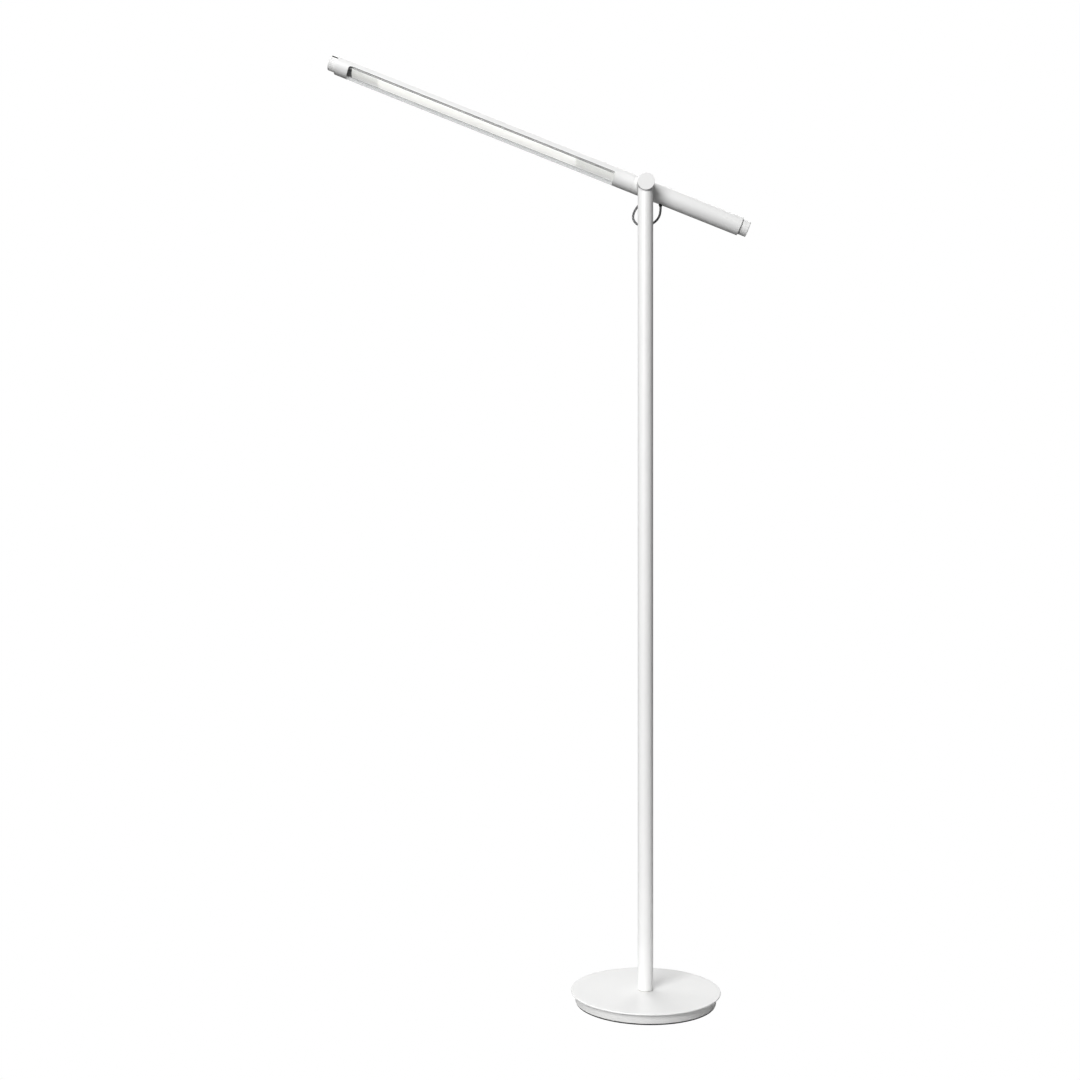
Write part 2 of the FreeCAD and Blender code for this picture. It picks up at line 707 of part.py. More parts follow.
PLUG_DEPTH = 7.5
LENS_NUT_LENGTH = 10.0
LENS_NUT_HALF = 4.5
LENS_NUT_WEB = 0.5      # left between the screw's bore and the lens bar
SINK_SCREWS = 5


def window_tool(grow):
    """Everything below the window's edge, with rounded upper corners; grow moves all edges out."""
    left = WINDOW_LEFT - grow
    right = WINDOW_RIGHT + grow
    top = WINDOW_TOP + grow
    corner = WINDOW_CORNER + grow
    bend = corner * (1 - math.sqrt(0.5))
    side = outline([
        (left, -2 * ARM_R),
        (left, top - corner),
        ((left + bend, top - bend), (left + corner, top)),
        (right - corner, top),
        ((right - bend, top - bend), (right, top - corner)),
        (right, -2 * ARM_R),
    ])
    side.translate(V(0, -2 * ARM_R, 0))
    return side.extrude(V(0, 4 * ARM_R, 0))


def roll_stop_bar():
    """Set screw through the head tube's back, into the sleeve's groove."""
    return rod(ROLL_STOP_R, (ROLL_STOP_X, ROLL_STOP_TIP, 0), (ROLL_STOP_X, ARM_R - 2 * SLIP, 0))


def head_tube():
    tube = along_x(ARM_R, HEAD_END, SEAM - GAP, ARM_BORE)
    return in_head(tube.cut(window_tool(0)).cut(roll_stop_bar()))


def clear_cover():
    """Clear skin that fills the window flush, with a flange all round inside the tube."""
    ends = (WINDOW_LEFT - 2 * COVER_LIP, WINDOW_RIGHT + 2 * COVER_LIP)
    skin = along_x(COVER_OUTER, *ends, COVER_MID).common(window_tool(-COVER_FIT))
    flange = along_x(COVER_MID, *ends, COVER_INNER)
    flange = flange.common(window_tool(COVER_LIP)).cut(window_tool(-COVER_LAP))
    return in_head(skin.fuse(flange).removeSplitter())


def head_end_plug():
    """Plug in the head tube's end, the focus screw's bearing."""
    plug = along_x(ARM_BORE, HEAD_END, HEAD_END + PLUG_DEPTH, SHAFT_R + RUN)
    return in_head(plug)


def led_heatsink():
    """D-shaped bar against the tube's top, with a channel for the wires."""
    bar = along_x(ARM_BORE - SLIP, *SINK_X)
    bar = bar.common(block(*SINK_X, -ARM_R, ARM_R, SINK_Z, ARM_R))
    bar = bar.cut(block(*SINK_X, -SINK_CHANNEL_HALF, SINK_CHANNEL_HALF, SINK_CHANNEL_FLOOR, ARM_R))
    for x in sink_screw_places():
        bar = bar.cut(rod(SINK_SCREW_R, (x, 0, SINK_Z), (x, 0, SINK_Z + SINK_SCREW_DEPTH)))
    return in_head(bar)


def led_board():
    low = SINK_Z - EMITTER_BOARD_T
    board = block(*SINK_X, -EMITTER_BOARD_HALF, EMITTER_BOARD_HALF, low, SINK_Z)
    for x in sink_screw_places():
        board = board.cut(rod(SINK_SCREW_R, (x, 0, low), (x, 0, SINK_Z)))
    return in_head(board)


def emitter_pitch():
    return (LIT_RIGHT - LIT_LEFT) / EMITTERS


def sink_screw_places():
    """Screws midway between two emitters, evenly along the lit stretch."""
    step = (EMITTERS - 1) // (SINK_SCREWS - 1)
    for k in range(SINK_SCREWS):
        yield LIT_LEFT + emitter_pitch() * min(k * step + 1, EMITTERS - 1)


def heatsink_screws():
    """Small screws that hold the light board to the heat sink."""
    low = SINK_Z - EMITTER_BOARD_T
    screws = []
    for x in sink_screw_places():
        head = rod(SINK_SCREW_HEAD_R, (x, 0, low - SINK_SCREW_HEAD_T), (x, 0, low))
        shank = rod(SINK_SCREW_R, (x, 0, low), (x, 0, SINK_Z + SINK_SCREW_DEPTH))
        screws.append(in_head(head.fuse(shank)))
    return Part.makeCompound(screws)


def led_emitters():
    """A row of flat light emitters on the board."""
    top = SINK_Z - EMITTER_BOARD_T
    emitters = []
    for k in range(EMITTERS):
        x = LIT_LEFT + emitter_pitch() * (k + 0.5)
        chip = block(x - EMITTER_HALF, x + EMITTER_HALF, -EMITTER_HALF, EMITTER_HALF, top - EMITTER_T, top)
        emitters.append(in_head(chip))
    return Part.makeCompound(emitters)


def lens_rails():
    """Pair of angle rails that the lens bar slides in."""
    rails = []
    for side in (-1, 1):
        wall = block(*SINK_X, *RAIL_Y, RAIL_Z[0], SINK_Z)
        lip = block(*SINK_X, RAIL_LIP_Y, RAIL_Y[0], *RAIL_Z)
        rail = wall.fuse(lip).removeSplitter()
        if side < 0:
            rail = rail.mirror(V(0, 0, 0), V(0, 1, 0))
        rails.append(in_head(rail))
    return Part.makeCompound(rails)


def lens_bar():
    """Frosted bar: flanges in the rails, and below them a wider face, gently crowned."""
    face = section_along_x([
        (-LENS_FACE_HALF, LENS_FACE_TOP),
        (-LENS_FACE_HALF, LENS_EDGE),
        ((0, LENS_CROWN), (LENS_FACE_HALF, LENS_EDGE)),
        (LENS_FACE_HALF, LENS_FACE_TOP),
    ], LENS_LEFT, LENS_RIGHT)
    neck_half = RAIL_LIP_Y - GAP
    neck = block(LENS_LEFT, LENS_RIGHT, -neck_half, neck_half, LENS_FACE_TOP, LENS_TOP)
    flange = block(LENS_LEFT, LENS_RIGHT, -LENS_HALF, LENS_HALF, RAIL_Z[1] + GAP, LENS_TOP)
    return in_head(face.fuse([neck, flange]).removeSplitter())


def lens_nut():
    """Block on the lens bar's end that the focus screw drives."""
    left = LENS_LEFT - LENS_NUT_LENGTH
    nut = block(left, LENS_LEFT, -LENS_HALF, LENS_HALF, -LENS_NUT_HALF, LENS_NUT_HALF)
    return in_head(nut.cut(along_x(SHAFT_R, left, LENS_LEFT - LENS_NUT_WEB)))


def save_head():
    save("head_tube", head_tube())
    save("clear_cover", clear_cover())
    save("head_end_plug", head_end_plug())
    save("roll_stop_screw", in_head(roll_stop_bar()))
    save("led_heatsink", led_heatsink())
    save("led_board", led_board())
    save("heatsink_screws", heatsink_screws())
    save("led_emitters", led_emitters())
    save("lens_rails", lens_rails())
    save("lens_bar", lens_bar())
    save("lens_nut", lens_nut())


# ---- knobs ----------------------------------------------------------------------------
KNOB_EDGE = 0.4         # chamfer beside the tube
KNOB_CORNER = 1.0       # round of the outer corner
KNOB_CROWNS = {"focus": 1.2, "dimmer": 0.4}
KNOB_FLAT_R = 0.3 * KNOB_R
FLUTES = 28
FLUTE_R = 0.75
FLUTE_OUT = 0.35        # flute's centre, outside the knob's radius
FLUTE_START = 1.6
MARK_FLUTE = 3          # the focus mark takes this flute's place, counted from the top to the front
MARK_HALF = 1.7
MARK_TOP = KNOB_R + 0.1
MARK_FLOOR = MARK_TOP - 0.7
MARK_END = 2.5          # from the knob's outer end
COLLAR_SCREW_R = 4.5    # focus screw's collar
COLLAR_SCREW_T = 1.2
KNOB_SCREW_R = 1.5
KNOB_SCREW_X = 6.0
KNOB_SCREW_SUNK = 0.5


def knob_body(near, far, crown):
    """Knob on the X axis from near the tube out to far, its end crowned by the given height."""
    out = math.copysign(1, far - near)
    bend = KNOB_CORNER * (1 - math.sqrt(0.5))
    shoulder = far - (crown + KNOB_CORNER) * out
    crown_middle = ((KNOB_R - KNOB_CORNER + KNOB_FLAT_R) / 2, far - 0.35 * crown * out)
    return turned_along_x([
        (0, near),
        (KNOB_R - KNOB_EDGE, near),
        (KNOB_R, near + KNOB_EDGE * out),
        (KNOB_R, shoulder),
        ((KNOB_R - bend, far - (crown + bend) * out), (KNOB_R - KNOB_CORNER, far - crown * out)),
        (crown_middle, (KNOB_FLAT_R, far)),
        (0, far),
    ])


def flute_angle(k):
    """Degrees from the knob's top towards its front."""
    return 360 * (k + 0.5) / FLUTES


def focus_mark_bar(top):
    """Inlaid line along the focus knob, out to the given radius."""
    right = HEAD_END - GAP - KNOB_EDGE
    left = right - KNOB_LENGTH + MARK_END
    bar = block(left, right, -MARK_HALF, MARK_HALF, 0, 2 * KNOB_R)
    bar = bar.common(along_x(top, left, right, MARK_FLOOR))
    bar.rotate(V(0, 0, 0), V(1, 0, 0), flute_angle(MARK_FLUTE))
    return bar


def focus_knob():
    near = HEAD_END - GAP
    far = near - KNOB_LENGTH
    knob = knob_body(near, far, KNOB_CROWNS["focus"])
    for k in range(FLUTES):
        if k == MARK_FLUTE:
            continue
        angle = math.radians(flute_angle(k))
        y = -(KNOB_R + FLUTE_OUT) * math.sin(angle)
        z = (KNOB_R + FLUTE_OUT) * math.cos(angle)
        knob = knob.cut(rod(FLUTE_R, (near - FLUTE_START, y, z), (far, y, z)))
    knob = knob.cut(along_x(SHAFT_R, near - KNOB_SOCKET, near))
    return in_arm(knob.cut(focus_mark_bar(MARK_TOP)))


def focus_screw():
    """Knob shaft, its collar behind the plug, and the plain-drawn quick thread in the nut."""
    collar_left = HEAD_END + PLUG_DEPTH + GAP
    collar_right = collar_left + COLLAR_SCREW_T
    shaft = along_x(SHAFT_R, HEAD_END - GAP - KNOB_SOCKET, collar_left)
    collar = along_x(COLLAR_SCREW_R, collar_left, collar_right)
    thread = along_x(SHAFT_R - RUN, collar_right, LENS_LEFT - LENS_TRAVEL - 1)
    return in_arm(shaft.multiFuse([collar, thread]).removeSplitter())


def dimmer_knob():
    near = REAR_END + GAP
    knob = knob_body(near, near + KNOB_LENGTH, KNOB_CROWNS["dimmer"])
    bore = along_x(SHAFT_R, near, near + KNOB_SOCKET)
    return in_arm(knob.cut(bore.fuse(knob_screw_bar())))


def knob_screw_bar():
    """Set screw down to the shaft's flat."""
    x = REAR_END + GAP + KNOB_SCREW_X
    return rod(KNOB_SCREW_R, (x, SHAFT_FLAT, 0), (x, KNOB_R - KNOB_SCREW_SUNK, 0))


def dimmer_shaft():
    near = REAR_END + GAP
    outer = near + KNOB_SOCKET
    shaft = along_x(SHAFT_R, REAR_END - END_RING_WIDTH - SHAFT_IN_POT, outer)
    return in_arm(shaft.cut(block(near, outer, SHAFT_FLAT, SHAFT_R, -SHAFT_R, SHAFT_R)))


def save_knobs():
    save("focus_knob", focus_knob())
    save("focus_mark", in_arm(focus_mark_bar(MARK_TOP)))
    save("focus_screw", focus_screw())
    save("dimmer_knob", dimmer_knob())
    save("dimmer_shaft", dimmer_shaft())
    save("dimmer_knob_screw", in_arm(knob_screw_bar()))


# ---- jumper cord ----------------------------------------------------------------------
def cord_route():
    """Hand-set route: out of the column's back, down in a slack loop, up into the arm."""
    arm_gland = arm_cord_gland().BoundBox
    return [V(*p) for p in [
        (0.0, COLUMN_R + CORD_GLAND_OUT, CORD_EXIT_Z),
        (0.0, 21.5, CORD_EXIT_Z),
        (-3.2, 28.0, 1232.5),
        (-7.8, 32.2, 1228.2),
        (-12.8, 33.6, 1222.2),
        (-16.4, 33.0, 1214.8),
        (-17.3, 31.4, 1207.0),
        (-13.9, 30.2, 1200.2),
        (-7.2, 29.6, 1195.6),
        (1.2, 29.3, 1194.4),
        (9.8, 29.1, 1196.6),
        (17.4, 29.0, 1201.4),
        (23.2, 29.0, 1208.4),
        (ARM_EXIT_X, ARM_Y, 1217.2),
        (ARM_EXIT_X, ARM_Y, arm_gland.ZMin),
    ]]


def cord_path(route):
    """Straight runs joined by tangent arcs, each as large as its two runs allow."""
    edges = []
    radii = []
    here = route[0]
    for before, corner, after in zip(route, route[1:], route[2:]):
        run_in = corner - before
        run_out = after - corner
        turn = run_in.getAngle(run_out)
        reach = CORD_ARC * min(run_in.Length, run_out.Length)
        radius = reach / math.tan(turn / 2)
        unit_in = run_in / run_in.Length
        unit_out = run_out / run_out.Length
        start = corner - unit_in * reach
        end = corner + unit_out * reach
        inward = (unit_out - unit_in) / (unit_out - unit_in).Length
        middle = corner + inward * (radius / math.cos(turn / 2) - radius)
        edges.append(Part.LineSegment(here, start).toShape())
        edges.append(Part.Arc(start, middle, end).toShape())
        radii.append(radius)
        here = end
    edges.append(Part.LineSegment(here, route[-1]).toShape())
    return Part.Wire(edges), radii


def jumper_cord():
    route = cord_route()
    path, radii = cord_path(route)
    disc = Part.Wire(Part.makeCircle(CORD_R, route[0], route[1] - route[0]))
    cord = path.makePipeShell([disc], True, True)
    expected = math.pi * CORD_R ** 2 * path.Length
    print("cord length %.1f mm, radii %s" % (path.Length, ["%.1f" % r for r in radii]))
    print("cord volume %.1f, section times length %.1f" % (cord.Volume, expected))
    return cord


def main():
    os.makedirs("parts", exist_ok=True)
    save_base()
    save_column()
    save_arm()
    save_head()
    save_knobs()
    save("jumper_cord", jumper_cord())


main()
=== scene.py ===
"""Adjustable arm floor lamp: looks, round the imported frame.  All lengths in metres."""
import json
import math

import bpy
from mathutils import Matrix, Vector


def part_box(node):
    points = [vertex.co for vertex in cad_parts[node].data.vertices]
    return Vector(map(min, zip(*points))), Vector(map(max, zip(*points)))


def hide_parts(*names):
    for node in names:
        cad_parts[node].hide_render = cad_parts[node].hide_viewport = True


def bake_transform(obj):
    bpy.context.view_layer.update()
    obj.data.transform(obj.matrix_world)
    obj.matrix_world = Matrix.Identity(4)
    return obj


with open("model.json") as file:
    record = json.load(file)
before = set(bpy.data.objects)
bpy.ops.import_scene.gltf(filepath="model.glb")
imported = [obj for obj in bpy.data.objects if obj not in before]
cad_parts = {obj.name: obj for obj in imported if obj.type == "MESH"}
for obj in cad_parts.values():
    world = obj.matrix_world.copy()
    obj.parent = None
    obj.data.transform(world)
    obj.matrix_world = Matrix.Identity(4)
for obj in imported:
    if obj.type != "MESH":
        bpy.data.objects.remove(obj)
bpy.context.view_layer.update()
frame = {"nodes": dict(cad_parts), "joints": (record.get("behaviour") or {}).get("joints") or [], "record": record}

NODES = frame["nodes"]
JOINTS = {joint["name"]: joint for joint in frame["joints"]}
PIVOT = Vector(JOINTS["arm_tilt"]["pos_m"])
ARM = Vector(JOINTS["dimmer_turn"]["axis"])       # along the arm, towards the dimmer knob


# ---- camera ---------------------------------------------------------------------------
SENSOR_WIDTH = 36.0     # millimetres, and the focal length too
FOCAL_LENGTH = 47.667
CAMERA_REACH = 50.0
CAMERA_PLACE = (-0.1616, -2.191, 0.7074)


def make_camera():
    """Level camera left of the column, about waist high."""
    data = bpy.data.cameras.new("camera")
    data.sensor_width = SENSOR_WIDTH
    data.lens = FOCAL_LENGTH
    data.clip_end = CAMERA_REACH
    camera = bpy.data.objects.new("camera", data)
    camera.location = CAMERA_PLACE
    camera.rotation_euler = (math.pi / 2, 0.0, 0.0)
    bpy.context.scene.collection.objects.link(camera)
    bpy.context.scene.camera = camera


# ---- jumper cord ----------------------------------------------------------------------
CORD_DIAMETER = 0.0038
STRANDS = 6             # each way round
PALE_EVERY = 3          # every third strand of one way round is pale
STRAND_W = 0.00112
STRAND_T = 0.00036
STRAND_WAVE = 0.00013   # how far a strand rises and dips as it crosses the others
STRAND_SIDES = 6
STRAND_STEP = 0.00028
CORE_SIDES = 16
BRAID_PITCH = 0.0099    # length of one turn of a strand
BRAID_LEAN = math.radians(45)
BRAID_MIDDLE = CORD_DIAMETER / 2 - STRAND_WAVE - STRAND_T / 2    # radius that the strands weave about
CORE_R = BRAID_MIDDLE - STRAND_T / 2
ROUTE_RESOLUTION = 24


def cord_route():
    """The cord's route, out of the column's back and up into the arm."""
    start_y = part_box("column_cord_gland")[1].y
    end_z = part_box("arm_cord_gland")[0].z
    return [
        (0.0, start_y, 1.2340),
        (0.0, 0.0215, 1.2340),
        (-0.0032, 0.0280, 1.2325),
        (-0.0078, 0.0322, 1.2282),
        (-0.0128, 0.0336, 1.2222),
        (-0.0164, 0.0330, 1.2148),
        (-0.0173, 0.0314, 1.2070),
        (-0.0139, 0.0302, 1.2002),
        (-0.0072, 0.0296, 1.1956),
        (0.0012, 0.0293, 1.1944),
        (0.0098, 0.0291, 1.1966),
        (0.0174, 0.0290, 1.2014),
        (0.0232, 0.0290, 1.2084),
        (0.0256, 0.0290, 1.2172),
        (0.0256, 0.0290, end_z),
    ]


def spline_points(route, resolution):
    """Points read from a NURBS spline that has the route as its control points."""
    curve = bpy.data.curves.new("route", "CURVE")
    curve.dimensions = "3D"
    spline = curve.splines.new("NURBS")
    spline.points.add(len(route) - 1)
    for point, place in zip(spline.points, route):
        point.co = (*place, 1.0)
    spline.order_u = 3
    spline.use_endpoint_u = True
    spline.resolution_u = resolution
    holder = bpy.data.objects.new("route", curve)
    mesh = bpy.data.meshes.new_from_object(holder)
    points = [vertex.co.copy() for vertex in mesh.vertices]
    bpy.data.objects.remove(holder)
    bpy.data.curves.remove(curve)
    bpy.data.meshes.remove(mesh)
    return points


def frames_along(points):
    """(point, side, up) at each point, turned as little as possible from one to the next."""
    frames = []
    up = Vector((0.0, 0.0, 1.0))
    for k, point in enumerate(points):
        ahead = points[min(k + 1, len(points) - 1)]
        behind = points[max(k - 1, 0)]
        along = (ahead - behind).normalized()
        up = (up - along * up.dot(along)).normalized()
        frames.append((point, along.cross(up), up))
    return frames


def mesh_object(name, vertices, faces):
    mesh = bpy.data.meshes.new(name)
    mesh.from_pydata(vertices, [], faces)
    mesh.update()
    piece = bpy.data.objects.new(name, mesh)
    bpy.context.scene.collection.objects.link(piece)
    return piece


def round_about(side, up, angle):
    """Direction outwards from the cord at an angle."""
    return side * math.cos(angle) + up * math.sin(angle)


def tube_faces(first, rows, sides):
    """Closed tube's faces, over rings of vertices that start at first."""
    faces = []
    for row in range(rows - 1):
        near, far = first + row * sides, first + (row + 1) * sides
        for k in range(sides):
            turn = (k + 1) % sides
            faces.append((near + k, near + turn, far + turn, far + k))
    last = first + rows * sides
    faces.append(tuple(reversed(range(first, first + sides))))
    faces.append(tuple(range(last - sides, last)))
    return faces


def strand_vertices(frames, step, way, start):
    """One strand of the braid, an oval section at each frame; way is 1 or -1, start an angle."""
    vertices = []
    lean = way * BRAID_LEAN
    for row, (point, side, up) in enumerate(frames):
        turned = 2 * math.pi * row * step / BRAID_PITCH
        angle = start + way * turned
        radius = BRAID_MIDDLE + way * STRAND_WAVE * math.cos(STRANDS * turned)
        out = round_about(side, up, angle)
        along = up.cross(side)
        across = (up * math.cos(angle) - side * math.sin(angle)) * math.cos(lean) - along * math.sin(lean)
        for k in range(STRAND_SIDES):
            turn = 2 * math.pi * k / STRAND_SIDES
            place = point + out * (radius + STRAND_T / 2 * math.cos(turn))
            vertices.append(place + across * (STRAND_W / 2 * math.sin(turn)))
    return vertices


def core_vertices(frames):
    """Plain core under the braid."""
    vertices = []
    for point, side, up in frames:
        for k in range(CORE_SIDES):
            vertices.append(point + round_about(side, up, 2 * math.pi * k / CORE_SIDES) * CORE_R)
    return vertices


def even_points(points, step):
    """Points at even distances along a polyline."""
    marks = [0.0]
    for a, b in zip(points, points[1:]):
        marks.append(marks[-1] + (b - a).length)
    count = round(marks[-1] / step)
    evenly, k = [], 0
    for n in range(count + 1):
        reach = marks[-1] * n / count
        while k < len(points) - 2 and marks[k + 1] < reach:
            k += 1
        share = (reach - marks[k]) / (marks[k + 1] - marks[k])
        evenly.append(points[k].lerp(points[k + 1], share))
    return evenly, marks[-1]


def make_cord():
    """Braided jacket of interlaced strands, over a plain core."""
    points, length = even_points(spline_points(cord_route(), ROUTE_RESOLUTION), STRAND_STEP)
    frames = frames_along(points)
    step = length / (len(points) - 1)
    vertices, faces, tones = [], [], []
    for way in (1, -1):
        for strand in range(STRANDS):
            faces += tube_faces(len(vertices), len(frames), STRAND_SIDES)
            vertices += strand_vertices(frames, step, way, 2 * math.pi * strand / STRANDS)
            pale = way > 0 and strand % PALE_EVERY == 0
            tones += [int(pale)] * (len(faces) - len(tones))
    faces += tube_faces(len(vertices), len(frames), CORE_SIDES)
    vertices += core_vertices(frames)
    tones += [0] * (len(faces) - len(tones))
    cord = mesh_object("jumper_cord_braid", vertices, faces)
    cord.data.polygons.foreach_set("material_index", tones)
    cord.data.shade_smooth()
    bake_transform(cord)
    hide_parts("jumper_cord")
    return cord


make_camera()
CORD = make_cord()


# ---- materials ------------------------------------------------------------------------
WHITE = (0.83, 0.83, 0.825)
# the base weight's skirt wears the same white paint as the rest; this darker white is painted shade under the base
# plate's overhanging lip
CAST_SHADED_WHITE = (0.62, 0.62, 0.615)
# the base plate's top wears the same white paint; this slightly darker white is painted shade, toning down how
# brightly the lamps light it
SPUN_SHADED_WHITE = (0.79, 0.79, 0.785)
SPUN_PULL = 0.3         # how far the turned grain draws the gloss out
# the aluminium lens rails are darkened to this grey to draw a dark line beside the lens: painted shade in the gap
# between lens and tube
RAIL_SHADE_GREY = (0.52, 0.51, 0.49)
RAIL_ROUGHNESS = 0.4
LENS_WHITE = (0.80, 0.80, 0.78)
LENS_WHITE_LOW = (0.74, 0.74, 0.72)
LENS_EDGE = -0.00265    # height of the lens's long edges, over the arm's axis
LAMP_COLOUR = (1.0, 0.985, 0.95, 1.0)
FACE_ABOVE = 0.0001     # the glow starts this far above that edge
FACE_BELOW = 0.0002     # and is full this far below it
LIT_FADE = 0.003        # half the length over which the glow dies away at either end
LIT_GLOW = 0.72
LIT_LEAK = 0.60         # share of the glow that reaches the lens's dark ends
HEAD_ROLL = math.radians(-21)   # the head's turn about the arm, at rest
HEAD_SIDE = Matrix.Rotation(HEAD_ROLL, 3, ARM) @ Vector((0.0, 1.0, 0.0))   # across the lens, to the back
HEAD_UP = ARM.cross(HEAD_SIDE)
ACRYLIC_TINT = (0.84, 0.848, 0.848, 1.0)
ACRYLIC_SHADE = (0.9, 0.9, 0.9, 1.0)    # of its shadow
ACRYLIC_IOR = 1.49
YARN_DARK = (0.13, 0.13, 0.134)
YARN_PALE = (0.60, 0.60, 0.61)
DRIFT_CELLS = 14.0      # noise cells a metre, here and in the next four
SCUFF_CELLS = 60.0
GRAIN_CELLS = 600.0
PEEL_CELLS = 900.0
FIBRE_CELLS = 4000.0
PEEL_DEPTH = 0.00003
GRAIN_DEPTH = 0.00002
PLAIN_FINISHES = {      # colour, roughness, metallic
    "black_rubber": ((0.015, 0.015, 0.015), 0.75, 0.0),
    "steel": ((0.55, 0.55, 0.56), 0.3, 1.0),
    "aluminium": ((0.75, 0.75, 0.76), 0.35, 1.0),
    "bronze": ((0.5, 0.32, 0.13), 0.4, 1.0),
    "nylon": ((0.6, 0.6, 0.57), 0.5, 0.0),
    "black_plastic": ((0.02, 0.02, 0.022), 0.5, 0.0),
    "friction_fibre": ((0.12, 0.1, 0.09), 0.8, 0.0),
    "light_board": ((0.8, 0.8, 0.77), 0.4, 0.0),
    "emitter": ((0.9, 0.7, 0.3), 0.3, 0.0),
    "circuit_board": ((0.02, 0.12, 0.05), 0.35, 0.0),
    "components": ((0.03, 0.03, 0.03), 0.5, 0.0),
    "mark_ink": ((0.01, 0.01, 0.01), 0.4, 0.0),
}


def new_material(name):
    """An empty node material with its Principled shader, as (material, shader, nodes, links)."""
    material = bpy.data.materials.new(name)
    material.use_nodes = True
    nodes, links = material.node_tree.nodes, material.node_tree.links
    shader = nodes["Principled BSDF"]
    return material, shader, nodes, links


def noise(nodes, links, scale, detail=2.0):
    """Noise in the object's own coordinates; scale is in cells a metre."""
    where = nodes.new("ShaderNodeTexCoord")
    texture = nodes.new("ShaderNodeTexNoise")
    texture.inputs["Scale"].default_value = scale
    texture.inputs["Detail"].default_value = detail
    links.new(where.outputs["Object"], texture.inputs["Vector"])
    return texture


def dimmed(colour, share):
    return tuple(channel * share for channel in colour)


def blend_colours(nodes, links, factor, low, high):
    """A colour that wanders between low and high."""
    ramp = nodes.new("ShaderNodeValToRGB")
    ramp.color_ramp.elements[0].position = 0.35
    ramp.color_ramp.elements[0].color = (*low, 1.0)
    ramp.color_ramp.elements[1].position = 0.65
    ramp.color_ramp.elements[1].color = (*high, 1.0)
    links.new(factor, ramp.inputs["Fac"])
    return ramp.outputs["Color"]


def spread(nodes, links, factor, low, high):
    """A number that wanders between low and high."""
    reach = nodes.new("ShaderNodeMapRange")
    reach.inputs["To Min"].default_value = low
    reach.inputs["To Max"].default_value = high
    links.new(factor, reach.inputs["Value"])
    return reach.outputs["Result"]


def bump(nodes, links, height, distance):
    """Normal that a height gives, distance in metres."""
    node = nodes.new("ShaderNodeBump")
    node.inputs["Distance"].default_value = distance
    node.inputs["Strength"].default_value = 1.0
    links.new(height, node.inputs["Height"])
    return node.outputs["Normal"]


def powder_coat(name, white):
    """Satin powder coat: faint orange peel, slight drift of tone and gloss."""
    material, shader, nodes, links = new_material(name)
    drift = noise(nodes, links, DRIFT_CELLS)
    peel = noise(nodes, links, PEEL_CELLS, 3.0)
    tone = blend_colours(nodes, links, drift.outputs["Fac"], dimmed(white, 0.985), white)
    links.new(tone, shader.inputs["Base Color"])
    links.new(spread(nodes, links, peel.outputs["Fac"], 0.32, 0.46), shader.inputs["Roughness"])
    links.new(bump(nodes, links, peel.outputs["Fac"], PEEL_DEPTH), shader.inputs["Normal"])
    shader.inputs["Coat Weight"].default_value = 0.08
    shader.inputs["Coat Roughness"].default_value = 0.25
    return material


def plain_material(name, colour, roughness, metallic=0.0):
    """Moulded or turned finish with a fine grain."""
    material, shader, nodes, links = new_material(name)
    texture = noise(nodes, links, GRAIN_CELLS)
    tone = blend_colours(nodes, links, texture.outputs["Fac"], dimmed(colour, 0.85), colour)
    links.new(tone, shader.inputs["Base Color"])
    links.new(spread(nodes, links, texture.outputs["Fac"], roughness * 0.85, roughness * 1.15),
              shader.inputs["Roughness"])
    links.new(bump(nodes, links, texture.outputs["Fac"], GRAIN_DEPTH), shader.inputs["Normal"])
    shader.inputs["Metallic"].default_value = metallic
    return material


def clear_acrylic(name):
    """Polished acrylic, faintly grey, that lets the lamps' light through."""
    material, shader, nodes, links = new_material(name)
    scuffs = noise(nodes, links, SCUFF_CELLS, 4.0)
    shader.inputs["Base Color"].default_value = ACRYLIC_TINT
    links.new(spread(nodes, links, scuffs.outputs["Fac"], 0.01, 0.05), shader.inputs["Roughness"])
    shader.inputs["Transmission Weight"].default_value = 1.0
    shader.inputs["IOR"].default_value = ACRYLIC_IOR
    clear = nodes.new("ShaderNodeBsdfTransparent")
    clear.inputs["Color"].default_value = ACRYLIC_SHADE
    path = nodes.new("ShaderNodeLightPath")
    mix = nodes.new("ShaderNodeMixShader")
    links.new(path.outputs["Is Shadow Ray"], mix.inputs["Fac"])
    links.new(shader.outputs["BSDF"], mix.inputs[1])
    links.new(clear.outputs["BSDF"], mix.inputs[2])
    links.new(mix.outputs["Shader"], nodes["Material Output"].inputs["Surface"])
    return material


def ramp_between(nodes, links, value, low, high):
    """Smooth rise from 0 at low to 1 at high; falls where low is above high."""
    rise = nodes.new("ShaderNodeMapRange")
    rise.interpolation_type = "SMOOTHSTEP"
    rise.inputs["From Min"].default_value = min(low, high)
    rise.inputs["From Max"].default_value = max(low, high)
    rise.inputs["To Min"].default_value = 0.0 if low < high else 1.0
    rise.inputs["To Max"].default_value = 1.0 if low < high else 0.0
    links.new(value, rise.inputs["Value"])
    return rise.outputs["Result"]


def times(nodes, links, first, second):
    """Product of two values; the second may be a plain number."""
    product = nodes.new("ShaderNodeMath")
    product.operation = "MULTIPLY"
    links.new(first, product.inputs[0])
    if isinstance(second, float):
        product.inputs[1].default_value = second
    else:
        links.new(second, product.inputs[1])
    return product.outputs["Value"]


